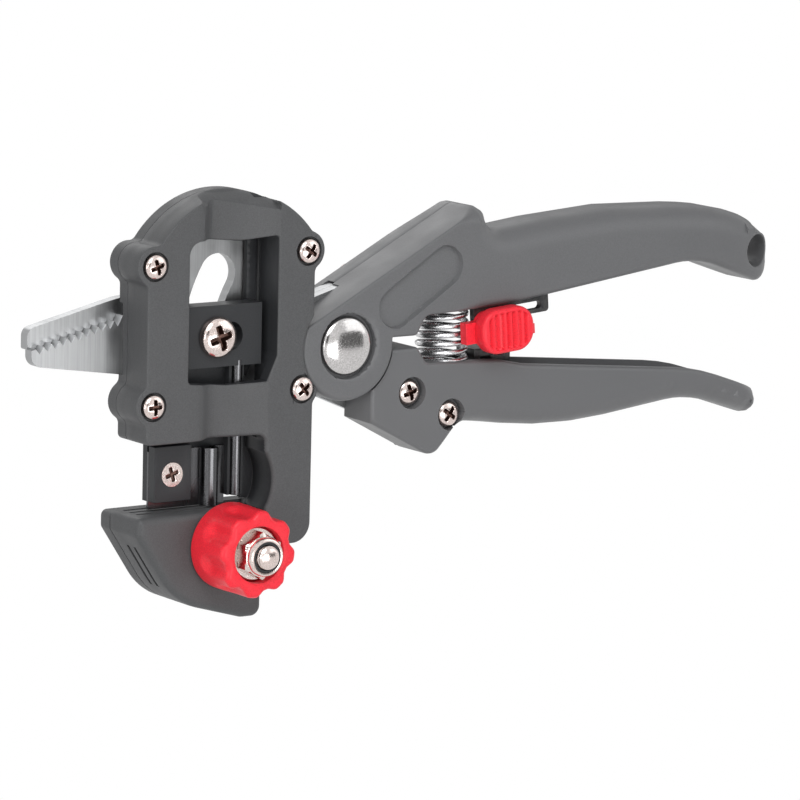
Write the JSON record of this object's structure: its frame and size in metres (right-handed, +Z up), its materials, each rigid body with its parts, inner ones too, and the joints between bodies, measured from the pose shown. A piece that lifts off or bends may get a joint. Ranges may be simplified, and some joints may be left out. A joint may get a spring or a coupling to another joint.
{
  "type": "grafting pruner",
  "caption": "Hand grafting pruner: two sprung handles drive a serrated jaw and blade, and a guided plunger that presses a folded knife onto a clamped swinging anvil",
  "frame": {"origin": "centre of the hanging hole's bore in the upper handle's tail, half way through its width", "axes": "+X along the handles toward the tail, away from the jaws; +Y from the front, where the knob and the dome nut are, to the back; +Z up, from the anvil to the arch of the head"},
  "size_m": [0.2185, 0.047, 0.1035],
  "materials": {
    "handle_grey": "die-cast, grey enamel, semi-gloss",
    "head_grey": "moulded fibre-filled nylon, satin",
    "plunger_black": "moulded, satin black",
    "ground_steel": "hardened and ground",
    "bright_fastener": "bright nickel plate",
    "spring_steel": "bright drawn wire",
    "rail_steel": "black oxide",
    "knob_red": "moulded red, satin"
  },
  "bodies": {
    "upper_side": {"upper_handle": "handle_grey", "rear_cheek": "handle_grey", "cheek_screws": "bright_fastener", "head_front_shell": "head_grey", "head_rear_cover": "head_grey", "head_screws": "bright_fastener", "serrated_jaw": "ground_steel", "pivot_bolt": "bright_fastener", "pivot_dome_nut": "bright_fastener", "pivot_washer": "bright_fastener", "anvil_bolt": "bright_fastener", "knob_washer": "bright_fastener", "lock_nut": "bright_fastener", "lock_rail": "rail_steel", "rail_rivets": "bright_fastener", "return_spring": "spring_steel"},
    "lower_side": {"lower_handle": "handle_grey", "cutting_blade": "ground_steel", "tang_screws": "bright_fastener", "drive_screw": "bright_fastener", "drive_sleeve": "ground_steel", "lock_catch": "rail_steel"},
    "plunger_set": {"plunger": "plunger_black", "guide_rod": "ground_steel", "knife_holder": "plunger_black", "knife_screw": "bright_fastener", "grafting_knife": "ground_steel"},
    "anvil_set": {"anvil": "head_grey"},
    "knob_set": {"clamp_knob": "knob_red"},
    "lock_set": {"lock_slider": "knob_red", "lock_pins": "rail_steel", "lock_hook": "rail_steel"}
  },
  "joints": [
    {"name": "handle_open", "type": "hinge", "parent": "upper_side", "child": "lower_side", "pos_m": [-0.1285, 0, -0.0159], "axis": [0, 1, 0], "range_deg": [0, 20], "deforming": ["return_spring"]},
    {"name": "plunger_slide", "type": "slide", "parent": "upper_side", "child": "plunger_set", "axis": [0, 0, 1], "range_m": [0, 0.0123]},
    {"name": "anvil_swing", "type": "hinge", "parent": "upper_side", "child": "anvil_set", "pos_m": [-0.1649, -0.006, -0.0611], "axis": [0, -1, 0], "range_deg": [0, 18]},
    {"name": "knob_turn", "type": "hinge", "parent": "upper_side", "child": "knob_set", "pos_m": [-0.1649, -0.0198, -0.0611], "axis": [0, -1, 0], "range_deg": [0, 180]},
    {"name": "lock_slide", "type": "slide", "parent": "upper_side", "child": "lock_set", "axis": [0.9962, 0, 0.0872], "range_m": [-0.004, 0.0068]}
  ],
  "couplings": [
    {"joint": "plunger_slide", "follows": "handle_open", "m_per_rad": 0.0352}
  ]
}
